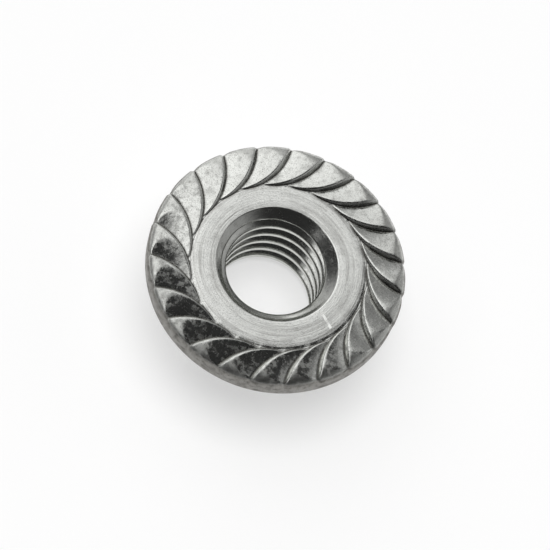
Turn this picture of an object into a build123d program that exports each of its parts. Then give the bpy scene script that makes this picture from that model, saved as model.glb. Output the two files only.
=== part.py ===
"""M8 serrated flange nut, cold forged in one piece.

The nut stands on its plain hexagon end with the axis on Z, the origin at the middle of that
end face and the serrated bearing face on top.  All lengths are millimetres, angles degrees.
"""

from build123d import *
import os
from math import acos, asin, cos, degrees, hypot, radians, sin, sqrt, tan

# Thread and bore
thread_d = 8.0
thread_pitch = 1.25
thread_flank_angle = 60.0
countersink_d = 8.5
countersink_angle = 100.0

# Hexagon
nut_height = 7.9
across_flats = 12.0
hex_corner_round = 0.4
hex_end_face_d = 11.2
hex_chamfer_angle = 30.0

# Flange
flange_d = 17.9
rim_height = 1.4
rim_shoulder_width = 1.4
rim_shoulder_drop = 0.85
rim_bottom_chamfer = 0.2
underside_angle = 25.0
underside_root_round = 0.4

# Serrations
bearing_ring_d = 12.2
tooth_count = 23
tooth_height = 0.4
tooth_wall_angle = 48.0
groove_arc_r = 4.3
groove_sink = 0.03
first_groove_angle = 5.3

# Reach of the groove's form tool past the metal it cuts
tool_overrun = 0.5

# Sizes that follow from the ones above
flange_r = flange_d / 2
ring_r = bearing_ring_d / 2
ring_z = nut_height - tooth_height
rim_bottom_z = ring_z - rim_height
fundamental_triangle = thread_pitch / 2 / tan(radians(thread_flank_angle / 2))
thread_minor_r = thread_d / 2 - fundamental_triangle * 5 / 8
countersink_r = countersink_d / 2
countersink_depth = (countersink_r - thread_minor_r) / tan(radians(countersink_angle / 2))

# Plan of a groove: its bottom is an arc that starts along the edge of the bearing ring and
# runs out to the rim.  The arc's centre lies outside the ring, one arc radius from its edge.
groove_centre_r = ring_r + groove_arc_r
tooth_pitch_angle = 360 / tooth_count


def distance_from_groove_centre(point_r, point_angle):
    """Distance in plan from the groove centre to a point at this radius and angle from it."""
    along = groove_centre_r - point_r * cos(radians(point_angle))
    across = point_r * sin(radians(point_angle))
    return hypot(along, across)


def angle_at_axis(point_r, distance):
    """Angle seen from the nut's axis between the groove centre and a point of the nut."""
    squares = groove_centre_r**2 + point_r**2 - distance**2
    return degrees(acos(squares / (2 * groove_centre_r * point_r)))


def angle_at_groove_centre(point_r, distance):
    """Angle seen from the groove centre between the nut's axis and a point of the nut."""
    squares = groove_centre_r**2 + distance**2 - point_r**2
    return degrees(acos(squares / (2 * groove_centre_r * distance)))


# From a groove's bottom a steep wall rises towards the arc's centre, and a long ramp away from
# it to the crest of the next wall.  Crests reach full height where the rim's shoulder begins.
groove_depth = tooth_height + groove_sink
wall_run = groove_depth / tan(radians(tooth_wall_angle))
full_crest_r = flange_r - rim_shoulder_width
full_crest_angle = angle_at_axis(full_crest_r, groove_arc_r - wall_run)
next_crest_distance = distance_from_groove_centre(
    full_crest_r, full_crest_angle + tooth_pitch_angle
)
ramp_run = next_crest_distance - groove_arc_r

# A groove starts where its bottom crosses the next one's, at the tip of the tooth between them,
# and runs out past the rim.
half_pitch_angle = tooth_pitch_angle / 2
tip_r = groove_centre_r * cos(radians(half_pitch_angle)) - sqrt(
    groove_arc_r**2 - (groove_centre_r * sin(radians(half_pitch_angle))) ** 2
)
groove_start_angle = degrees(asin(tip_r * sin(radians(half_pitch_angle)) / groove_arc_r))
groove_end_angle = angle_at_groove_centre(flange_r + tool_overrun, groove_arc_r + ramp_run)

# Hexagon, with the corners of its end turned off at a cone
with BuildPart() as hexagon:
    with BuildSketch(Plane.XY):
        RegularPolygon(across_flats / 2, 6, major_radius=False)
        fillet(vertices(), hex_corner_round)
    extrude(amount=rim_bottom_z)
    with BuildSketch(Plane.XZ):
        with BuildLine():
            hex_end_face_r = hex_end_face_d / 2
            chamfer_rise = (flange_r - hex_end_face_r) * tan(radians(hex_chamfer_angle))
            Polyline(
                (0, 0),
                (hex_end_face_r, 0),
                (flange_r, chamfer_rise),
                (flange_r, rim_bottom_z),
                (0, rim_bottom_z),
                close=True,
            )
        make_face()
    revolve(axis=Axis.Z, mode=Mode.INTERSECT)

# Flange blank: flat bearing ring, raised band for the teeth, rounded rim, conical underside
with BuildPart() as flange:
    with BuildSketch(Plane.XZ):
        with BuildLine():
            rim_shoulder = EllipticalCenterArc(
                (flange_r - rim_shoulder_width, nut_height - rim_shoulder_drop),
                rim_shoulder_width,
                rim_shoulder_drop,
                arc_size=90,
            )
            Polyline(
                rim_shoulder @ 1,
                (ring_r, nut_height),
                (ring_r, ring_z),
                (0, ring_z),
                (0, rim_bottom_z - flange_r * tan(radians(underside_angle))),
                (flange_r, rim_bottom_z),
                rim_shoulder @ 0,
            )
        make_face()
        rim_corners = vertices().group_by(Axis.X)[-1]
        chamfer(rim_corners.sort_by(Axis.Y)[0], rim_bottom_chamfer)
    revolve(axis=Axis.Z)

# Form tool of one groove about its own centre: steep wall inside, long ramp outside
with BuildPart() as groove_tool:
    with BuildSketch(Plane.XZ):
        with BuildLine():
            Polyline(
                (groove_arc_r, ring_z - groove_sink),
                (groove_arc_r + ramp_run, nut_height),
                (groove_arc_r + ramp_run, nut_height + tool_overrun),
                (groove_arc_r - wall_run, nut_height + tool_overrun),
                (groove_arc_r - wall_run, nut_height),
                close=True,
            )
        make_face()
    revolve(axis=Axis.Z, revolution_arc=groove_start_angle + groove_end_angle)

with BuildPart() as flange_nut:
    add(hexagon.part)
    add(flange.part)
    fillet(edges(Select.NEW), underside_root_round)
    # Tapping bore with a countersink at each end
    with BuildSketch(Plane.XZ):
        with BuildLine():
            Polyline(
                (0, 0),
                (countersink_r, 0),
                (thread_minor_r, countersink_depth),
                (thread_minor_r, ring_z - countersink_depth),
                (countersink_r, ring_z),
                (0, ring_z),
                close=True,
            )
        make_face()
    revolve(axis=Axis.Z, mode=Mode.SUBTRACT)
    # Grooves: the tool is turned so that each cut starts beside the bearing ring
    with PolarLocations(0, tooth_count, start_angle=first_groove_angle):
        with Locations(Location((groove_centre_r, 0, 0), (0, 0, 180 - groove_start_angle))):
            add(groove_tool.part, mode=Mode.SUBTRACT)

flange_nut.part.label = "flange_nut"

os.makedirs("parts", exist_ok=True)
export_step(flange_nut.part, "parts/flange_nut.step")
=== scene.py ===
"""Serrated flange nut: the dressed model, laid out as an add-on and run as a script.

The nut is one piece of zinc-plated steel.  It stands on its hexagon end with its axis on Z, the
serrated bearing face on top.  Sizes are in metres in the panel and in millimetres in the mesh code.
"""

from math import acos, asin, atan2, cos, exp, floor, hypot, pi, radians, sin, sqrt, tan

import bmesh
import bpy
from bpy.props import FloatProperty, FloatVectorProperty, IntProperty, PointerProperty
from bpy.types import Operator, Panel, PropertyGroup
from mathutils import Matrix, Vector


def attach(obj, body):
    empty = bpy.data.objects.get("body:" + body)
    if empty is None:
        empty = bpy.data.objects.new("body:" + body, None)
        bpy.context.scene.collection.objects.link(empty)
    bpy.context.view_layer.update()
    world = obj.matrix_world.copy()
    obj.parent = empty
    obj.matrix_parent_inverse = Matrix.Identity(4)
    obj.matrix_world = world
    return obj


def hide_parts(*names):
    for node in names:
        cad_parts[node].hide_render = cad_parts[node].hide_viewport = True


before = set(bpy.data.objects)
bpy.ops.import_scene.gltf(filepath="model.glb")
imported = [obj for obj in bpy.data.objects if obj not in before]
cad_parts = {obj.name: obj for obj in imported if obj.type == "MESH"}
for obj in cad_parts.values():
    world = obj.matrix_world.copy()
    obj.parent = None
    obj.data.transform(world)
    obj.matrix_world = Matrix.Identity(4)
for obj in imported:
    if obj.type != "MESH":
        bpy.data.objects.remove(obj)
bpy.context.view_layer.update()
CAD_NODE = "flange_nut"

bl_info = {
    "name": "Serrated Flange Nut",
    "version": (1, 0, 0),
    "blender": (4, 5, 0),
    "location": "View3D > Sidebar > Flange Nut",
    "description": "Builds a zinc-plated serrated flange nut with its thread, finish and studio",
    "category": "Add Mesh",
}

MM = 0.001


# ---------------------------------------------------------------- settings

class NutSizes(PropertyGroup):
    """Sizes of the nut.

    They are the solid's, but for a steeper tooth wall.  The scallop, the punch offset and the
    thread are only here, and the rim's lower edge is rounded where the solid's is chamfered.
    """

    nut_height: FloatProperty(
        name="Height", description="From the hexagon end to the tooth crests",
        default=0.0079, unit="LENGTH")
    across_flats: FloatProperty(
        name="Across Flats", description="Spanner size of the hexagon",
        default=0.012, unit="LENGTH")
    hex_corner_round: FloatProperty(
        name="Corner Round", description="Radius along the hexagon's corners",
        default=0.0004, unit="LENGTH")
    hex_end_diameter: FloatProperty(
        name="End Face", description="Diameter where the end chamfer starts",
        default=0.0112, unit="LENGTH")
    hex_chamfer_angle: FloatProperty(
        name="End Chamfer", description="Slope of the chamfer round the hexagon end",
        default=radians(30), unit="ROTATION")
    flange_diameter: FloatProperty(
        name="Flange", description="Outside diameter of the flange",
        default=0.0179, unit="LENGTH")
    rim_height: FloatProperty(
        name="Rim Height", description="From the bearing ring down to the rim's lower edge",
        default=0.0014, unit="LENGTH")
    rim_shoulder_width: FloatProperty(
        name="Shoulder Width", description="How far in the rim's rounded shoulder reaches",
        default=0.0014, unit="LENGTH")
    rim_shoulder_drop: FloatProperty(
        name="Shoulder Drop", description="How far down the rim's rounded shoulder reaches",
        default=0.00085, unit="LENGTH")
    rim_bottom_round: FloatProperty(
        name="Lower Edge", description="Softening of the rim's lower edge",
        default=0.0002, unit="LENGTH")
    underside_angle: FloatProperty(
        name="Underside", description="Slope of the flange's conical underside",
        default=radians(25), unit="ROTATION")
    underside_root_round: FloatProperty(
        name="Root Round", description="Radius between the underside and the hexagon",
        default=0.0004, unit="LENGTH")
    bearing_ring_diameter: FloatProperty(
        name="Bearing Ring", description="Diameter where the teeth start",
        default=0.0122, unit="LENGTH")
    tooth_count: IntProperty(
        name="Teeth", description="Number of ratchet teeth", default=23, min=3)
    tooth_height: FloatProperty(
        name="Tooth Height", description="Height of the crests above the bearing ring",
        default=0.0004, unit="LENGTH")
    tooth_wall_angle: FloatProperty(
        name="Tooth Wall", description="Slope of the steep side of a tooth",
        default=radians(58), unit="ROTATION")
    groove_arc_radius: FloatProperty(
        name="Groove Arc", description="Radius of a groove in plan",
        default=0.0043, unit="LENGTH")
    groove_sink: FloatProperty(
        name="Groove Sink", description="Depth of the groove bottoms below the bearing ring",
        default=0.00003, unit="LENGTH")
    first_groove_angle: FloatProperty(
        name="First Groove", description="Direction of the first groove's centre",
        default=radians(5.3), unit="ROTATION")
    rim_scallop: FloatProperty(
        name="Scallop", description="How far the rim falls in where a groove runs out",
        default=0.00014, unit="LENGTH", precision=5)
    punch_offset: FloatVectorProperty(
        name="Punch Offset", description="How far off the nut's axis the teeth are pressed",
        subtype="TRANSLATION", unit="LENGTH", size=2, default=(0.000144, -0.00014))
    thread_diameter: FloatProperty(
        name="Thread", description="Major diameter of the thread",
        default=0.008, unit="LENGTH")
    thread_pitch: FloatProperty(
        name="Pitch", description="Pitch of the thread", default=0.00125, unit="LENGTH")
    countersink_diameter: FloatProperty(
        name="Countersink", description="Mouth of the countersinks",
        default=0.0085, unit="LENGTH")
    countersink_angle: FloatProperty(
        name="Countersink Angle", description="Included angle of the countersinks",
        default=radians(100), unit="ROTATION")
    thread_turn: FloatProperty(
        name="Thread Start", description="Turns the thread about the axis",
        default=radians(340.6), unit="ROTATION")


class ZincFinish(PropertyGroup):
    """Colours and textures of the zinc plating."""

    metal_colour: FloatVectorProperty(
        name="Metal", description="Clean zinc plating",
        subtype="COLOR", default=(0.74, 0.75, 0.72), min=0.0, max=1.0)
    dull_colour: FloatVectorProperty(
        name="Dull Metal", description="Unpolished plating in the thread and on the rim",
        subtype="COLOR", default=(0.46, 0.46, 0.44), min=0.0, max=1.0)
    # Dull rim metal, darkened further to paint in the shaded floor that the rim reflects beside the
    # nut
    rim_colour_and_shade: FloatVectorProperty(
        name="Rim Metal", description="Dark, unpolished metal of the rim",
        subtype="COLOR", default=(0.30, 0.292, 0.275), min=0.0, max=1.0)
    # Paints shade along the feet of the teeth, and colours the dirt in pits, turning marks and rim
    # streaks
    grime_and_crease_shade_colour: FloatVectorProperty(
        name="Grime", description="Dirt along the feet of the teeth",
        subtype="COLOR", default=(0.09, 0.085, 0.075), min=0.0, max=1.0)
    ring_colour: FloatVectorProperty(
        name="Ring Metal", description="Turned metal of the bearing ring",
        subtype="COLOR", default=(0.86, 0.87, 0.84), min=0.0, max=1.0)
    ring_roughness: FloatProperty(
        name="Ring Roughness", description="Roughness of the turned bearing ring",
        default=0.19, min=0.0, max=1.0)
    tooth_roughness: FloatProperty(
        name="Tooth Roughness", description="Roughness of the pressed teeth",
        default=0.11, min=0.0, max=1.0)
    peel_depth: FloatProperty(
        name="Peel", description="Depth of the plating's fine unevenness",
        default=0.000009, unit="LENGTH", precision=6)
    turning_depth: FloatProperty(
        name="Turning Marks", description="Depth of the turning marks on the ring",
        default=0.000010, unit="LENGTH", precision=6)


class StudioSettings(PropertyGroup):
    """Floor, light and camera."""

    floor_colour: FloatVectorProperty(
        name="Floor", description="Colour of the floor",
        subtype="COLOR", default=(0.97, 0.97, 0.97), min=0.0, max=1.0)
    floor_radius: FloatProperty(
        name="Floor Radius", description="How far the floor reaches", default=1.5, unit="LENGTH")
    floor_evenness: FloatProperty(
        name="Floor Evenness", description="Share of the floor that shows as plain white",
        default=0.5, min=0.0, max=1.0)
    softbox_strength: FloatProperty(
        name="Softbox", description="Brightness of the softbox behind the nut, at its left",
        default=1.2, min=0.0)
    softbox_fade: FloatProperty(
        name="Softbox Fade", description="Brightness of the softbox's right end",
        default=0.5, min=0.0)
    wall_strength: FloatProperty(
        name="Wall", description="Brightness of the wall at the right", default=0.525, min=0.0)
    surround_strength: FloatProperty(
        name="Surround", description="Brightness of the pale surround at the horizon",
        default=0.6, min=0.0)
    room_strength: FloatProperty(
        name="Room", description="Brightness of the unlit ceiling", default=0.03, min=0.0)
    floor_lamp: FloatProperty(
        name="Floor Lamp", description="Light of the soft lamp that evens the floor",
        default=1.83, min=0.0)
    floor_lamp_spread: FloatProperty(
        name="Lamp Spread", description="How wide the soft lamp is",
        default=radians(40), unit="ROTATION")
    studio_turn: FloatProperty(
        name="Studio Turn", description="Turns the lights about the vertical",
        default=radians(24), unit="ROTATION")
    camera_elevation: FloatProperty(
        name="Elevation", description="Camera's angle above the floor",
        default=radians(64.75), unit="ROTATION")
    camera_roll: FloatProperty(
        name="Roll", description="Turn of the camera about its own line of sight",
        default=radians(24), unit="ROTATION")
    camera_distance: FloatProperty(
        name="Distance", description="From the camera to the middle of the view",
        default=0.21, unit="LENGTH")
    view_width: FloatProperty(
        name="View Width", description="Width that the camera takes in at the nut's face",
        default=0.037543, unit="LENGTH")
    aim_right: FloatProperty(
        name="Aim Right", description="Middle of the view, to the right of the nut's axis",
        default=-0.000178, unit="LENGTH", precision=5)
    aim_up: FloatProperty(
        name="Aim Up", description="Middle of the view, above the nut's axis as the camera sees it",
        default=-0.000747, unit="LENGTH", precision=5)


# ---------------------------------------------------------------- helpers

def smooth_max(a, b, width):
    """The larger of two heights, with the corner between them eased."""
    blend = max(width - abs(a - b), 0.0) / width
    return max(a, b) + blend * blend * width / 4


def smooth_min(a, b, width):
    """The smaller of two heights, with the corner between them eased."""
    return -smooth_max(-a, -b, width)


def eased(value, low, high):
    """0 up to low, 1 from high on, with a smooth run between."""
    share = min(max((value - low) / (high - low), 0.0), 1.0)
    return share * share * (3 - 2 * share)


def ramp_between(low, high, count):
    """Evenly spaced values from low to high, both included."""
    return [low + (high - low) * i / (count - 1) for i in range(count)]


def unique(items):
    """Each item once, in the order they come in."""
    return list(dict.fromkeys(items))


def rounded_corner(before, corner, after, radius, count):
    """Points of a curve that rounds the corner between two straight runs of an outline.

    The curve is a quadratic, about a hundredth of a millimetre off the true arc at the most.
    """
    into = (Vector(corner) - Vector(before)).normalized()
    out = (Vector(after) - Vector(corner)).normalized()
    reach = radius * tan(into.angle(out) / 2)
    start = Vector(corner) - into * reach
    end = Vector(corner) + out * reach
    points = []
    for t in ramp_between(0.0, 1.0, count):
        point = start * (1 - t) ** 2 + Vector(corner) * 2 * t * (1 - t) + end * t**2
        points.append(tuple(point))
    return points


# ---------------------------------------------------------------- nut form, in millimetres

# Slope of the solid's tooth walls, which sets how far the ramps run
SOLID_WALL_SLOPE = tan(radians(48))
# Stands for a groove's height where its tool doesn't cut
UNCUT = 9.0
# An exponent of 2 makes the rim's shoulder elliptical, and more makes it squarer
SHOULDER_FULLNESS = 2.6
# Reach of the painted highlight beside a crest, partly wear, and of the painted shade at a foot
CREST_HIGHLIGHT_REACH = 0.035
FOOT_SHADE_REACH = 0.07
# Width of the eased corners of the thread, and radius along the edges of the end and the bore
THREAD_SOFTEN = 0.12
EDGE_ROUND = 0.06


class NutForm:
    """The nut's surface in millimetres, as functions of radius and angle."""

    # Widths of the eased corners at a tooth's foot, at its crest and where its wall meets the blank
    foot_soften = 0.03
    crest_soften = 0.11
    lobe_round = 0.1
    # How much a ramp swells on its way up, and the share of the full height that it reaches
    ramp_bulge = 0.4
    crest_wear = 0.82
    # Radius of the drilled hole, which flattens the thread's crests
    tap_drill_r = 3.40

    def __init__(self, sizes):
        self.height = sizes.nut_height / MM
        self.apothem = sizes.across_flats / 2 / MM
        self.corner = sizes.hex_corner_round / MM
        self.end_face_r = sizes.hex_end_diameter / 2 / MM
        self.chamfer_slope = tan(sizes.hex_chamfer_angle)
        self.flange_r = sizes.flange_diameter / 2 / MM
        self.shoulder_w = sizes.rim_shoulder_width / MM
        self.shoulder_d = sizes.rim_shoulder_drop / MM
        self.rim_round = sizes.rim_bottom_round / MM
        self.underside_slope = tan(sizes.underside_angle)
        self.root_round = sizes.underside_root_round / MM
        self.ring_r = sizes.bearing_ring_diameter / 2 / MM
        self.teeth = sizes.tooth_count
        self.tooth_height = sizes.tooth_height / MM
        self.wall_slope = tan(sizes.tooth_wall_angle)
        self.arc_r = sizes.groove_arc_radius / MM
        self.sink = sizes.groove_sink / MM
        self.first_groove = sizes.first_groove_angle
        self.scallop = sizes.rim_scallop / MM
        self.punch = tuple(value / MM for value in sizes.punch_offset)
        self.major_r = sizes.thread_diameter / 2 / MM
        self.pitch = sizes.thread_pitch / MM
        self.sink_r = sizes.countersink_diameter / 2 / MM
        self.sink_half = sizes.countersink_angle / 2
        self.thread_turn = sizes.thread_turn
        self.step = 2 * pi / self.teeth

        self.ring_z = self.height - self.tooth_height
        self.rim_bottom_z = self.ring_z - sizes.rim_height / MM
        triangle_height = self.pitch * sqrt(3) / 2
        self.minor_r = self.major_r - triangle_height * 5 / 8
        self.centre_r = self.ring_r + self.arc_r
        self.depth = self.tooth_height + self.sink
        self.shoulder_r = self.flange_r - self.shoulder_w
        wall_run = self.depth / SOLID_WALL_SLOPE
        crest_angle = self.seen_from_axis(self.shoulder_r, self.arc_r - wall_run)
        next_crest = self.from_centre(self.shoulder_r, crest_angle + self.step)
        self.ramp_run = next_crest - self.arc_r
        # A groove starts at a tooth's tip, where its bottom meets the next one's
        half = self.step / 2
        tip_r = (self.centre_r * cos(half)
                 - sqrt(self.arc_r**2 - (self.centre_r * sin(half)) ** 2))
        self.groove_start = -asin(tip_r * sin(half) / self.arc_r)

    def from_centre(self, r, angle):
        """Distance in plan from a groove's centre to a point at this angle from it."""
        return hypot(self.centre_r - r * cos(angle), r * sin(angle))

    def seen_from_axis(self, r, distance):
        """Angle at the nut's axis between a groove's centre and a point of the nut."""
        squares = self.centre_r**2 + r**2 - distance**2
        return acos(min(1.0, squares / (2 * self.centre_r * r)))

    def groove(self, r, angle, blank):
        """Height above the ring of one groove's surface at this angle from its centre."""
        along = atan2(-r * sin(angle), self.centre_r - r * cos(angle))
        if along < self.groove_start:
            return UNCUT
        off = self.from_centre(r, angle) - self.arc_r
        ramp = self.ramp_height(off)
        wall = smooth_min(-off * self.wall_slope, blank + self.sink, self.lobe_round)
        return smooth_max(ramp, wall, self.foot_soften) - self.sink

    def ramp_height(self, off):
        """Height of the ramp above the groove's bottom, swelling a little on the way up."""
        share = off / self.ramp_run
        return self.depth * self.crest_wear * share * (1 + self.ramp_bulge * (1 - share))

    def tooth_surface(self, r, angle, blank):
        """Height of the toothed surface above the ring, nearness to a crest and to a foot."""
        turn = (angle - self.first_groove) / self.step
        nearest = floor(turn + 0.5)
        offsets = [(turn - nearest - k) * self.step for k in (-1, 0, 1, 2)]
        heights = [self.groove(r, offset, blank) for offset in offsets]
        order = sorted(range(len(heights)), key=lambda k: heights[k])
        lowest = smooth_min(heights[order[0]], heights[order[1]], self.crest_soften)
        crest = exp(-(((heights[order[1]] - heights[order[0]]) / CREST_HIGHLIGHT_REACH) ** 2))
        off = self.from_centre(r, offsets[order[0]]) - self.arc_r
        foot = exp(-((off / FOOT_SHADE_REACH) ** 2))
        return lowest, crest, foot

    def crest_offset(self, r):
        """Angle from a groove's centre to the crest over its wall, found by halving."""
        low = -self.seen_from_axis(r, self.arc_r)
        high = low + self.step
        for _ in range(30):
            middle = (low + high) / 2
            wall = (self.arc_r - self.from_centre(r, middle)) * self.wall_slope
            ramp = self.ramp_height(self.from_centre(r, middle - self.step) - self.arc_r)
            if wall < ramp:
                low = middle
            else:
                high = middle
        return (low + high) / 2

    def hexagon_r(self, angle):
        """Radius of the hexagon at an angle, with rounded corners, one of them on the X axis."""
        half = pi / 6
        off = abs((angle + half) % (2 * half) - half)
        centre = (self.apothem - self.corner) / cos(half)
        tangent = atan2(self.corner * sin(half), centre + self.corner * cos(half))
        if off < tangent:
            return centre * cos(off) + sqrt(self.corner**2 - (centre * sin(off)) ** 2)
        return self.apothem / cos(half - off)

    def thread_r(self, z, angle):
        """Radius of the threaded wall: flat crests and roots joined by flanks."""
        along = (z - self.pitch * (angle + self.thread_turn) / (2 * pi)) % self.pitch
        off = abs(along - self.pitch / 2)
        flank = self.minor_r + (off - self.pitch / 8) * sqrt(3)
        inside = smooth_max(self.tap_drill_r, flank, THREAD_SOFTEN)
        return smooth_min(inside, self.major_r, THREAD_SOFTEN)

    def bore_r(self, z, angle):
        """Radius of the hole: thread, opened out by the two countersinks."""
        spread = tan(self.sink_half)
        top = self.sink_r - (self.ring_z - z) * spread
        bottom = self.sink_r - z * spread
        return smooth_max(self.thread_r(z, angle), max(top, bottom), THREAD_SOFTEN)

    def blank_z(self, r):
        """Height of the unpressed flange at a distance from the nut's axis."""
        share = (r - self.shoulder_r) / self.shoulder_w
        share = min(max(share, 0.0), 1.0)
        level = (1 - share**SHOULDER_FULLNESS) ** (1 / SHOULDER_FULLNESS)
        return self.height - self.shoulder_d * (1 - level)

    def underside_z(self, r):
        """Height of the flange's conical underside."""
        return self.rim_bottom_z - (self.flange_r - r) * self.underside_slope


# ---------------------------------------------------------------- nut mesh

COLUMNS_PER_TOOTH = 24
# Rows along each run of the lower shell's outline
CONE_ROWS = 8
ROOT_ROWS = 6
FLAT_ROWS = 5
EDGE_ROWS = 4
MOUTH_ROWS = 5
BORE_ROWS = 118
# Rows of the flat ring, by radius; the lower shell and the crown meet between the last two
FLAT_MIDDLE_R = 4.80
LOWER_END_R = 5.20
CROWN_START_R = 5.40
MERGE_GAP = 1e-4
# The rim stands out by this share of the scallop between the grooves and falls in by the rest
SCALLOP_MEAN = 0.3
# Attributes of the crown's vertices that the finish reads; crest sets a painted highlight, foot
# painted shade
SHADING = ("crest", "foot", "blank")


class CrownGrid:
    """Where each vertex of the toothed crown goes: columns follow the grooves and crests."""

    # Columns up a tooth's wall, and how far from a foot and a crest the next ones lie
    wall_columns = 7
    beside = 0.03
    # Radii over which the rows start to follow the punch, and the columns the grooves
    follow_start, follow_full = 5.45, 5.75
    # Rows on the flat ring, by radius, and how many lie on each run outside them
    flat_rows = (CROWN_START_R, 5.60, 5.80, 5.95)
    tip_rows = 12
    face_rows = 26
    shoulder_rows = 27
    edge_rows = 6

    def __init__(self, form):
        self.form = form
        self.columns = form.teeth * COLUMNS_PER_TOOTH
        # The columns keep the same angles inside the first of these radii and outside the second
        self.steady_r = form.ring_r + 0.5
        self.last_r = form.flange_r - 0.2
        self.even = form.step / COLUMNS_PER_TOOTH
        start = form.first_groove - form.seen_from_axis(self.last_r, form.arc_r)
        self.lead = round(start / self.even)
        self.known_stops = {}

    def rows(self):
        """Each row as (kind, value).

        The value is a radius on the face, an angle round the shoulder, or a point of the band.
        """
        form = self.form
        # The rows are closest at the teeth's tips, on the ring's edge
        tips = ramp_between(form.ring_r - 0.04, form.ring_r + 0.32, self.tip_rows)
        face = ramp_between(form.ring_r + 0.37, form.shoulder_r, self.face_rows)
        rows = [("face", r) for r in [*self.flat_rows, *tips, *face]]
        rows += [("shoulder", a) for a in ramp_between(pi / 2, 0.0, self.shoulder_rows)[1:]]
        edge = rounded_corner(
            (form.flange_r, form.height - form.shoulder_d),
            (form.flange_r, form.rim_bottom_z),
            (form.flange_r - 1, form.underside_z(form.flange_r - 1)),
            form.rim_round, self.edge_rows)
        rows += [("band", point) for point in edge]
        return rows

    def stops(self, r):
        """Angles of one tooth's columns at this radius, in step with its groove and crest."""
        form = self.form
        at = round(min(max(r, self.steady_r), self.last_r), 2)
        if at in self.known_stops:
            return self.known_stops[at]
        foot = -form.seen_from_axis(at, form.arc_r)
        crest = form.crest_offset(at)
        near = self.beside / at
        stops = [foot, foot + near]
        stops += ramp_between(foot + near, crest - near, self.wall_columns - 2)[1:]
        stops += [crest, crest + near]
        rest = COLUMNS_PER_TOOTH - len(stops) + 1
        stops += ramp_between(crest + near, foot + form.step - near, rest)[1:]
        self.known_stops[at] = stops
        return stops

    def place(self, r, column, punched, aligned):
        """Radius and angle of a vertex on a row that is centred on the punch, or on the axis."""
        punch_x, punch_y = self.form.punch
        tooth, stop = divmod(column, COLUMNS_PER_TOOTH)
        even = (column + self.lead) * self.even
        row_r = r
        # Three rounds settle the row's own radius
        for _ in range(3):
            angle = self.form.first_groove + tooth * self.form.step + self.stops(row_r)[stop]
            x = punch_x + row_r * cos(angle)
            y = punch_y + row_r * sin(angle)
            out = hypot(x, y)
            row_r += (r - out) * (1 - punched) - (row_r - r) * punched
        turn = (atan2(y, x) - even + pi) % (2 * pi) - pi
        return (out if punched else r), even + turn * aligned

    def point(self, row, column):
        """Angle, radius and height of one vertex of the crown, then its shading values."""
        form = self.form
        kind, value = row
        if kind == "band":
            return (column + self.lead) * self.even, value[0], value[1], 0.0, 0.0, 1.0
        if kind == "face":
            r = value
            share = punched = eased(r, self.follow_start, self.follow_full)
        else:
            # The rim's edge is centred on the axis again
            r = form.flange_r - form.shoulder_w * (1 - cos(value))
            share = eased(value, 0.1, 0.6)
            punched = eased(value, 0.5, pi / 2)
        out, angle = self.place(r, column, punched, share)
        x = out * cos(angle) - form.punch[0]
        y = out * sin(angle) - form.punch[1]
        from_punch = hypot(x, y)
        blank = form.blank_z(out) if from_punch >= form.ring_r else form.ring_z
        raised = blank - form.ring_z
        height, crest, foot = form.tooth_surface(from_punch, atan2(y, x), raised)
        z = smooth_min(blank, form.ring_z + height, form.crest_soften)
        if kind == "face":
            return angle, out, z, crest if from_punch > form.ring_r else 0.0, foot, 0.0
        # Out on the shoulder the form tool still cuts as high as on the face.  The rim falls in
        # where a groove runs out, most of all halfway down; what the tool doesn't cut is blank
        free, crest, foot = form.tooth_surface(from_punch, atan2(y, x), form.tooth_height)
        low = 1 - min(max(free / form.tooth_height, 0.0), 1.0)
        fall = form.scallop * (low**3 - SCALLOP_MEAN)
        out -= fall * (1 - punched) * eased(raised, -0.8, -0.2)
        cut = eased(raised - free, 0.0, 0.08)
        return angle, out, z, crest * cut, foot * cut, 1 - cut


def underside_outline(form, hexagon):
    """From the rim's lower edge in to the hexagon's flat, with the corner there rounded."""
    root = form.root_round
    tilt = atan2(form.underside_slope, 1.0)
    centre_r = hexagon + root
    centre_z = form.underside_z(centre_r) - root / cos(tilt)
    arc = [
        (centre_r + root * cos(a), centre_z + root * sin(a))
        for a in ramp_between(pi / 2 + tilt, pi, ROOT_ROWS)
    ]
    # The cone starts just inside the rim's rounded edge
    radii = ramp_between(form.flange_r - form.rim_round * 1.2, arc[0][0], CONE_ROWS)[:-1]
    return [(r, form.underside_z(r)) for r in radii] + arc


def hexagon_outline(form, hexagon, top_z):
    """Down the hexagon's flat, in along its chamfer and over half of its end face."""
    chamfer = (hexagon, (hexagon - form.end_face_r) * form.chamfer_slope)
    end_edge = (form.end_face_r, 0.0)
    mouth = (form.sink_r, 0.0)
    flat = ramp_between(top_z, chamfer[1] + 0.1, FLAT_ROWS)[1:-1]
    outline = [(hexagon, z) for z in flat]
    outline += rounded_corner((hexagon, top_z), chamfer, end_edge, EDGE_ROUND, EDGE_ROWS)
    outline += rounded_corner(chamfer, end_edge, mouth, EDGE_ROUND * 2, EDGE_ROWS)
    outline.append(((form.end_face_r + form.sink_r) / 2, 0.0))
    return outline


def bore_outline(form, angle):
    """Up the threaded bore from one countersink's mouth to the other's, and out on to the ring."""
    depth = (form.sink_r - form.minor_r) / tan(form.sink_half)
    top = form.ring_z
    outline = rounded_corner(
        (form.end_face_r, 0.0), (form.sink_r, 0.0), (form.minor_r, depth),
        EDGE_ROUND * 2, MOUTH_ROWS)
    for z in ramp_between(EDGE_ROUND, top - EDGE_ROUND, BORE_ROWS):
        outline.append((form.bore_r(z, angle), z))
    outline += rounded_corner(
        (form.minor_r, top - depth), (form.sink_r, top), (form.end_face_r, top),
        EDGE_ROUND * 2, MOUTH_ROWS)
    outline += [(FLAT_MIDDLE_R, top), (LOWER_END_R, top)]
    return outline


def lower_profile(form, angle):
    """Outline at one angle from the rim's lower edge round the hexagon and up the bore."""
    hexagon = form.hexagon_r(angle)
    under = underside_outline(form, hexagon)
    return under + hexagon_outline(form, hexagon, under[-1][1]) + bore_outline(form, angle)


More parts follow.
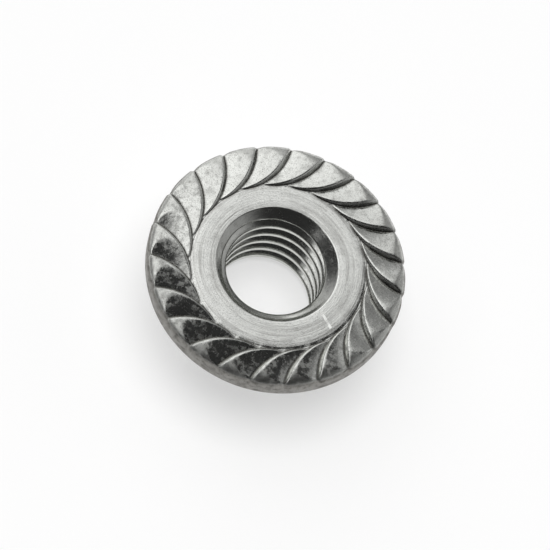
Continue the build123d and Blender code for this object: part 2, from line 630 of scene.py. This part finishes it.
def spun_shell(bm, outline, steps, turns, row_layer):
    """Spins an outline of (radius, height) points into a shell; each vertex keeps its row.

    One tooth's width is spun first and then turned round the axis, which is quicker.
    """
    others = set(bm.verts)
    chain = []
    for row, (r, z) in enumerate(outline):
        vertex = bm.verts.new((r, 0, z))
        vertex[row_layer] = row
        chain.append(vertex)
    edges = [bm.edges.new(pair) for pair in zip(chain, chain[1:])]
    about = {"cent": (0, 0, 0), "axis": (0, 0, 1), "dvec": (0, 0, 0)}
    wedge = 2 * pi / turns
    bmesh.ops.spin(
        bm, geom=chain + edges, angle=wedge, steps=steps // turns,
        use_merge=False, use_duplicate=False, **about)
    verts = [vertex for vertex in bm.verts if vertex not in others]
    edges = unique(edge for vertex in verts for edge in vertex.link_edges)
    faces = unique(face for vertex in verts for face in vertex.link_faces)
    bmesh.ops.spin(
        bm, geom=verts + edges + faces, angle=2 * pi - wedge, steps=turns - 1,
        use_merge=False, use_duplicate=True, **about)
    shell = [vertex for vertex in bm.verts if vertex not in others]
    bmesh.ops.remove_doubles(bm, verts=shell, dist=MERGE_GAP)
    return [vertex for vertex in bm.verts if vertex not in others]


def column_of(vertex, steps):
    """Which of the evenly spun columns a vertex lies in."""
    return round(atan2(vertex.co.y, vertex.co.x) / (2 * pi) * steps) % steps


def rim_loop(vertices, row_layer, row):
    """The closed ring of edges along one row of a shell."""
    ring = [vertex for vertex in vertices if vertex[row_layer] == row]
    members = set(ring)
    return [edge for vertex in ring for edge in vertex.link_edges
            if edge.other_vert(vertex) in members]


def build_nut(bm, form):
    """The whole nut as one closed shell, in millimetres."""
    row_layer = bm.verts.layers.int.new("row")
    shading = [bm.verts.layers.float.new(name) for name in SHADING]

    grid = CrownGrid(form)
    rows = grid.rows()
    outline = [grid.point(row, 0)[1:3] for row in rows]
    crown = spun_shell(bm, outline, grid.columns, form.teeth, row_layer)
    for vertex in crown:
        row = rows[vertex[row_layer]]
        angle, r, z, *values = grid.point(row, column_of(vertex, grid.columns))
        vertex.co = (r * cos(angle), r * sin(angle), z)
        for layer, value in zip(shading, values):
            vertex[layer] = value

    steps = grid.columns // 2
    lower = spun_shell(bm, lower_profile(form, 0.0), steps, form.teeth, row_layer)
    profiles = [lower_profile(form, 2 * pi * column / steps) for column in range(steps)]
    for vertex in lower:
        column = column_of(vertex, steps)
        angle = 2 * pi * column / steps
        r, z = profiles[column][vertex[row_layer]]
        vertex.co = (r * cos(angle), r * sin(angle), z)

    # The shells meet under the rim and on the flat ring
    for crown_row, lower_row in ((len(rows) - 1, 0), (0, len(profiles[0]) - 1)):
        edges = rim_loop(crown, row_layer, crown_row) + rim_loop(lower, row_layer, lower_row)
        bmesh.ops.bridge_loops(bm, edges=unique(edges))
    bmesh.ops.recalc_face_normals(bm, faces=bm.faces)
    bm.verts.layers.int.remove(row_layer)


def new_piece(name, bm):
    """A finished mesh object in metres at the origin, from a bmesh in millimetres."""
    bmesh.ops.scale(bm, vec=(MM, MM, MM), verts=bm.verts)
    mesh = bpy.data.meshes.new(name)
    bm.to_mesh(mesh)
    bm.free()
    mesh.shade_smooth()
    piece = bpy.data.objects.new(name, mesh)
    bpy.context.scene.collection.objects.link(piece)
    return piece


# ---------------------------------------------------------------- materials

WHITE = (1.0, 1.0, 1.0, 1.0)


def opaque(colour):
    """A colour with full alpha, as a socket takes it."""
    return (*colour, 1.0)


class Number:
    """A number in a node tree.  Arithmetic on it adds Math nodes."""

    def __init__(self, nodes, socket):
        self.nodes = nodes
        self.socket = socket

    def math(self, operation, first, second, clamp=False):
        """A Math node's result."""
        settings = {"operation": operation, "use_clamp": clamp}
        return self.nodes.number("ShaderNodeMath", settings, {0: first, 1: second})

    def __add__(self, other):
        return self.math("ADD", self, other)

    __radd__ = __add__

    def __sub__(self, other):
        return self.math("SUBTRACT", self, other)

    def __rsub__(self, other):
        return self.math("SUBTRACT", other, self)

    def __mul__(self, other):
        return self.math("MULTIPLY", self, other)

    __rmul__ = __mul__

    def __truediv__(self, other):
        return self.math("DIVIDE", self, other)

    def __rtruediv__(self, other):
        return self.math("DIVIDE", other, self)

    def clamped(self):
        """The number, kept between 0 and 1."""
        return self.math("ADD", self, 0.0, clamp=True)

    def larger(self, other):
        """The larger of the two numbers."""
        return self.math("MAXIMUM", self, other)

    def between(self, low, high):
        """0 below low, 1 above high, smooth between; low may be the larger one."""
        values = {"Value": self, "From Min": low, "From Max": high}
        settings = {"interpolation_type": "SMOOTHSTEP"}
        return self.nodes.number("ShaderNodeMapRange", settings, values)


class Nodes:
    """A material's or world's node tree, cleared and filled one node at a time."""

    def __init__(self, tree):
        self.tree = tree
        tree.nodes.clear()

    def node(self, kind, settings=None, values=None):
        """Adds a node: its settings first, then a value or a link for each named socket."""
        node = self.tree.nodes.new(kind)
        for name, value in (settings or {}).items():
            setattr(node, name, value)
        for name, value in (values or {}).items():
            socket = node.inputs[name]
            if isinstance(value, Number):
                value = value.socket
            if isinstance(value, bpy.types.NodeSocket):
                self.tree.links.new(value, socket)
            else:
                socket.default_value = value
        return node

    def number(self, kind, settings=None, values=None, output=0):
        """Adds a node and gives one of its outputs as a number."""
        return Number(self, self.node(kind, settings, values).outputs[output])

    def colour(self, kind, settings=None, values=None, output=0):
        """Adds a node and gives one of its outputs as a colour or a vector."""
        return self.node(kind, settings, values).outputs[output]

    def mix(self, factor, first, second):
        """A colour between two others."""
        # Sockets 6 and 7, and output 2, are a Mix node's for colours
        return self.colour("ShaderNodeMix", {"data_type": "RGBA"},
                           {0: factor, 6: first, 7: second}, output=2)

    def attribute(self, name):
        """A float attribute of the mesh."""
        return self.number("ShaderNodeAttribute", {"attribute_name": name}, output="Fac")

    def noise(self, vector, scale, detail=2.0, roughness=0.5):
        """A noise texture's value, which lies mostly between 0.3 and 0.7."""
        values = {"Vector": vector, "Scale": scale, "Detail": detail, "Roughness": roughness}
        return self.number("ShaderNodeTexNoise", values=values)


class ZincSurface:
    """The plating's pattern: where each finish lies on the nut, in millimetres."""

    # Ends of the bright scratch on the ring, in plan, and half its width
    scratch_start = (3.75, -1.72)
    scratch_end = (5.02, -2.72)
    scratch_half = 0.14

    def __init__(self, nodes, form, finish):
        self.nodes = nodes
        self.finish = finish
        metres = nodes.colour("ShaderNodeTexCoord", output="Object")
        self.place = nodes.colour("ShaderNodeVectorMath", {"operation": "SCALE"},
                                  {"Vector": metres, "Scale": 1 / MM})
        parts = nodes.node("ShaderNodeSeparateXYZ", values={"Vector": self.place})
        self.x, self.y, self.z = (Number(nodes, socket) for socket in parts.outputs)
        plan = nodes.colour("ShaderNodeCombineXYZ", values={"X": self.x, "Y": self.y})
        self.r = nodes.number("ShaderNodeVectorMath", {"operation": "LENGTH"},
                              {"Vector": plan}, output="Value")
        self.mark_regions(form)
        self.lay_textures()

    def mark_regions(self, form):
        """Masks that are 1 on a region and fade out over about a tenth of a millimetre."""
        top = self.z.between(form.ring_z - 0.12, form.ring_z - 0.06)
        self.ring = (top * self.r.between(form.ring_r + 0.04, form.ring_r - 0.02)
                     * self.r.between(form.sink_r - 0.12, form.sink_r - 0.02))
        self.toothed = 1 - self.ring
        self.bore = self.r.between(form.sink_r + 0.01, form.sink_r - 0.05)
        self.band = (self.r.between(form.flange_r - 0.26, form.flange_r - 0.13)
                     * self.z.between(form.ring_z + 0.06, form.ring_z - 0.08))
        # crest carries a painted highlight, with some burnished wear, and foot carries painted
        # shade
        self.crest, self.foot, self.blank = (self.nodes.attribute(name) for name in SHADING)

    def lay_textures(self):
        """Noise of each grain, as it comes or drawn out round the axis."""
        noise = self.nodes.noise
        self.turning = noise(self.round_the_axis(11.0, 0.8), 1.0, detail=3.0, roughness=0.7)
        self.circles = noise(self.round_the_axis(4.5, 0.9), 1.0, detail=3.0, roughness=0.6)
        self.streaks = noise(self.round_the_axis(3.0, 14.0), 1.0)
        self.cloud = noise(self.place, 0.8, detail=3.0, roughness=0.6)
        self.mottle = noise(self.place, 2.2, detail=3.0, roughness=0.6)
        self.speckle = noise(self.place, 8.0, detail=3.0, roughness=0.7)
        self.grain = noise(self.place, 14.0, detail=1.0)

    def round_the_axis(self, across, along):
        """A vector that changes by these rates with radius and height, and round the axis."""
        return self.nodes.colour("ShaderNodeCombineXYZ", values={
            "X": self.r * across + self.z * across,
            "Y": self.x / self.r * along,
            "Z": self.y / self.r * along})

    def scratch(self):
        """1 along the scratch, in patches, so that it looks torn."""
        start, end, half = self.scratch_start, self.scratch_end, self.scratch_half
        run_x, run_y = end[0] - start[0], end[1] - start[1]
        length = hypot(run_x, run_y)
        run_x, run_y = run_x / length, run_y / length
        off_x, off_y = self.x - start[0], self.y - start[1]
        along = off_x * run_x + off_y * run_y
        aside = off_x * -run_y + off_y * run_x
        reach = along.between(0.0, length * 0.8) * along.between(length + half, length)
        line = aside.between(-half, -half * 0.3) * aside.between(half, half * 0.3)
        torn = 0.45 + self.mottle.between(0.40, 0.60)
        return (line * reach * self.ring * torn).clamped()

    def dirt_and_shade(self):
        """Painted shade at the feet of the teeth, and dirt in pits and turning marks and in streaks
        on the rim.
        """
        pits = self.speckle.between(0.42, 0.30) * 0.55 + self.grain.between(0.50, 0.68) * 0.3
        pits = pits * (1 - self.bore * 0.5)
        lines = self.turning.between(0.58, 0.72) * self.ring * 0.25
        stains = self.streaks.between(0.5, 0.75) * self.band * 0.5
        # The foot term is painted shade in the creases at the teeth's feet; the rest is dirt
        return (self.foot * 0.9 + pits + lines + stains).clamped()

    def colour(self, dirt_and_shade, scratch):
        """The metal's colour, with each layer laid over the ones before it."""
        finish = self.finish
        dull = self.bore * 0.2 + self.blank * 0.2
        patches = (self.cloud.between(0.4, 0.7) * 0.3
                   + self.mottle.between(0.45, 0.65) * self.toothed * 0.25
                   + self.circles.between(0.46, 0.66) * self.ring * 0.5).clamped()
        # Painted highlight along the crests, with some burnished wear, and the pale scratch
        crest_highlight_and_scratch = (self.crest * 0.7).larger(scratch).clamped()
        colour = opaque(finish.metal_colour)
        for share, layer in (
                (self.ring, finish.ring_colour),
                (dull, finish.dull_colour),
                (patches, finish.dull_colour),
                # The rim's colour is dull metal plus a painted reflection of the shaded floor
                # beside the nut
                (self.band, finish.rim_colour_and_shade),
                # Painted shade at the teeth's feet, and dirt
                (dirt_and_shade, finish.grime_and_crease_shade_colour),
                (crest_highlight_and_scratch, finish.ring_colour)):
            colour = self.nodes.mix(share, colour, opaque(layer))
        return colour

    def roughness(self, dirt_and_shade, scratch):
        """Smooth plating, roughened in patches where the metal was forged."""
        forged = self.toothed - self.bore * 0.7
        plain = (self.ring * self.finish.ring_roughness
                 + self.toothed * self.finish.tooth_roughness
                 + self.mottle.between(0.44, 0.70) * forged * 0.27
                 + self.speckle.between(0.50, 0.72) * forged * 0.15
                 + self.blank * 0.2 + self.band * 0.15 + self.crest * 0.1
                 + self.bore * 0.06 + scratch * 0.2)
        return plain * (0.8 + self.speckle * 0.4) + dirt_and_shade * 0.15

    def height(self):
        """Height of the turning marks and of the plating's unevenness, in metres."""
        peel = self.mottle * self.toothed + self.speckle * (0.15 + self.ring * 0.35)
        marks = self.turning * self.ring
        return marks * self.finish.turning_depth + peel * self.finish.peel_depth

    def build(self):
        """Adds the shader; the scratch is matt and pale, so it isn't metallic."""
        dirt_and_shade = self.dirt_and_shade()
        scratch = self.scratch()
        bump = self.nodes.node("ShaderNodeBump", values={
            "Strength": 1.0, "Distance": 1.0, "Height": self.height()})
        principled = self.nodes.node("ShaderNodeBsdfPrincipled", values={
            "Base Color": self.colour(dirt_and_shade, scratch),
            "Metallic": 1 - scratch,
            "Roughness": self.roughness(dirt_and_shade, scratch),
            "Normal": bump.outputs["Normal"]})
        self.nodes.node("ShaderNodeOutputMaterial", values={
            "Surface": principled.outputs["BSDF"]})


def zinc_plating(form, finish):
    """The nut's material."""
    material = bpy.data.materials.new("zinc_plating")
    material.use_nodes = True
    ZincSurface(Nodes(material.node_tree), form, finish).build()
    return material


def floor_finish(settings):
    """Matt paper that shows partly as plain white, to the eye and in the metal."""
    material = bpy.data.materials.new("studio_floor")
    material.use_nodes = True
    nodes = Nodes(material.node_tree)
    paper = nodes.node("ShaderNodeBsdfDiffuse",
                       values={"Color": opaque(settings.floor_colour)})
    white = nodes.node("ShaderNodeEmission", values={"Color": WHITE, "Strength": 1.0})
    path = nodes.node("ShaderNodeLightPath")
    seen = sum(Number(nodes, path.outputs[name])
               for name in ("Is Camera Ray", "Is Glossy Ray", "Is Transmission Ray"))
    share = (seen * settings.floor_evenness).clamped()
    mixed = nodes.node("ShaderNodeMixShader", values={
        0: share, 1: paper.outputs["BSDF"], 2: white.outputs["Emission"]})
    nodes.node("ShaderNodeOutputMaterial", values={"Surface": mixed.outputs["Shader"]})
    return material


# ---------------------------------------------------------------- studio

LAMP_HEIGHT = 0.5


def add_floor(settings):
    """The round floor that the nut stands on."""
    bm = bmesh.new()
    bmesh.ops.create_circle(bm, cap_ends=True, segments=96, radius=settings.floor_radius / MM)
    floor_piece = new_piece("studio_floor", bm)
    floor_piece.data.materials.append(floor_finish(settings))


class Ceiling:
    """The light around the nut, drawn on a ceiling one unit above it.

    right and back say where a direction meets that ceiling; x, y and up are the direction itself.
    The two numbers of a mask are where it is 0 and where it is 1.
    """

    # Stands in for the height of directions below the horizon, so that they don't turn round
    least_up = 0.001

    def __init__(self, nodes, turn):
        toward = nodes.colour("ShaderNodeTexCoord", output="Generated")
        turned = nodes.colour("ShaderNodeVectorRotate", {"rotation_type": "Z_AXIS"},
                              {"Vector": toward, "Angle": -turn})
        parts = nodes.node("ShaderNodeSeparateXYZ", values={"Vector": turned})
        self.x, self.y, self.up = (Number(nodes, socket) for socket in parts.outputs)
        height = self.up.larger(self.least_up)
        self.right = self.x / height
        self.back = self.y / height

    def softbox(self):
        """1 inside the softbox, which ends at its left and along a slanting near edge."""
        left_end = self.right.between(-1.32, -1.18)
        near_edge = (self.back - self.right * 0.68).between(0.08, 0.22)
        return left_end * near_edge

    def softbox_level(self, left_level, right_level):
        """Brightness across the softbox; its far right corner is half as bright."""
        fade = self.right.between(-0.5, 1.0)
        corner = self.right.between(0.38, 0.54) * self.back.between(0.45, 0.70)
        return (left_level - fade * (left_level - right_level)) * (1 - corner * 0.5)

    def surround(self):
        """The pale horizon: 1 behind the nut, a fifth in front, taller but dimmer at the right."""
        round_about = self.y.between(-0.3, 0.4) * 0.8 + 0.2
        at_right = self.x.between(0.3, 0.8) * self.up.between(0.6, 0.3) * 0.6
        return (self.up.between(0.32, 0.10) * round_about).larger(at_right)

    def wall(self):
        """1 on the lit wall at the right, which fades out towards the front and the horizon."""
        return (self.right.between(0.75, 1.05) * self.back.between(-1.2, 0.0)
                * self.up.between(0.25, 0.45))


def light_studio(settings):
    """The world's light, and a soft lamp that evens the floor and isn't seen in the metal."""
    world = bpy.data.worlds.new("studio_light")
    bpy.context.scene.world = world
    world.use_nodes = True
    nodes = Nodes(world.node_tree)
    ceiling = Ceiling(nodes, settings.studio_turn)
    softbox = ceiling.softbox_level(settings.softbox_strength, settings.softbox_fade)
    surround = ceiling.surround() * settings.surround_strength
    wall = ceiling.wall() * settings.wall_strength
    rest = surround.larger(wall) + settings.room_strength
    inside = ceiling.softbox()
    light = softbox * inside + rest * (1 - inside)
    background = nodes.node("ShaderNodeBackground", values={"Color": WHITE, "Strength": light})
    nodes.node("ShaderNodeOutputWorld", values={"Surface": background.outputs["Background"]})

    lamp = bpy.data.lights.new("floor_lamp", "SUN")
    lamp.energy = settings.floor_lamp
    lamp.angle = settings.floor_lamp_spread
    above = bpy.data.objects.new("floor_lamp", lamp)
    above.location = (0, 0, LAMP_HEIGHT)
    above.visible_glossy = False
    bpy.context.scene.collection.objects.link(above)


def add_camera(settings, form):
    """The camera, in front of the nut and above it, turned about its own line of sight."""
    elevation = settings.camera_elevation
    away = Vector((0, sin(elevation), cos(elevation)))
    back = Vector((0, -cos(elevation), sin(elevation)))
    side = Vector((1, 0, 0))
    roll = settings.camera_roll
    right = side * cos(roll) + away * sin(roll)
    up = away * cos(roll) - side * sin(roll)
    aim = Vector((0, 0, form.ring_z * MM)) + right * settings.aim_right + up * settings.aim_up
    camera = bpy.data.cameras.new("camera")
    camera.lens = camera.sensor_width * settings.camera_distance / settings.view_width
    camera.clip_start = 0.01
    camera.clip_end = 10
    rig = bpy.data.objects.new("camera", camera)
    turn = Matrix((right, up, back)).transposed().to_4x4()
    rig.matrix_world = Matrix.Translation(aim + back * settings.camera_distance) @ turn
    bpy.context.scene.collection.objects.link(rig)
    bpy.context.scene.camera = rig


# ---------------------------------------------------------------- add-on

class NUT_OT_build(Operator):
    """Build the dressed flange nut in place of its plain solid"""

    bl_idname = "flange_nut.build"
    bl_label = "Build Nut"

    def execute(self, context):
        form = NutForm(context.scene.nut_sizes)
        bm = bmesh.new()
        build_nut(bm, form)
        piece = new_piece("serrated_flange_nut", bm)
        piece.data.materials.append(zinc_plating(form, context.scene.zinc_finish))
        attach(piece, "root")
        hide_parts(CAD_NODE)
        return {"FINISHED"}


class NUT_OT_studio(Operator):
    """Set up the floor, the light and the camera"""

    bl_idname = "flange_nut.studio"
    bl_label = "Set Up Studio"

    def execute(self, context):
        settings = context.scene.nut_studio
        add_floor(settings)
        light_studio(settings)
        add_camera(settings, NutForm(context.scene.nut_sizes))
        context.scene.view_settings.view_transform = "Standard"
        return {"FINISHED"}


class NUT_PT_panel(Panel):
    """Lists the nut's sizes, finish and studio"""

    bl_idname = "NUT_PT_panel"
    bl_label = "Serrated Flange Nut"
    bl_space_type = "VIEW_3D"
    bl_region_type = "UI"
    bl_category = "Flange Nut"

    def draw(self, context):
        layout = self.layout
        for operator, settings in (
                (NUT_OT_build, context.scene.nut_sizes),
                (None, context.scene.zinc_finish),
                (NUT_OT_studio, context.scene.nut_studio)):
            if operator:
                layout.operator(operator.bl_idname)
            box = layout.box()
            for name in settings.bl_rna.properties.keys():
                if name not in ("rna_type", "name"):
                    box.prop(settings, name)


CLASSES = (NutSizes, ZincFinish, StudioSettings, NUT_OT_build, NUT_OT_studio, NUT_PT_panel)


def register():
    for cls in CLASSES:
        bpy.utils.register_class(cls)
    bpy.types.Scene.nut_sizes = PointerProperty(type=NutSizes)
    bpy.types.Scene.zinc_finish = PointerProperty(type=ZincFinish)
    bpy.types.Scene.nut_studio = PointerProperty(type=StudioSettings)


def unregister():
    del bpy.types.Scene.nut_studio
    del bpy.types.Scene.zinc_finish
    del bpy.types.Scene.nut_sizes
    for cls in reversed(CLASSES):
        bpy.utils.unregister_class(cls)


def main():
    register()
    bpy.ops.flange_nut.build()
    bpy.ops.flange_nut.studio()


if __name__ == "__main__":
    main()
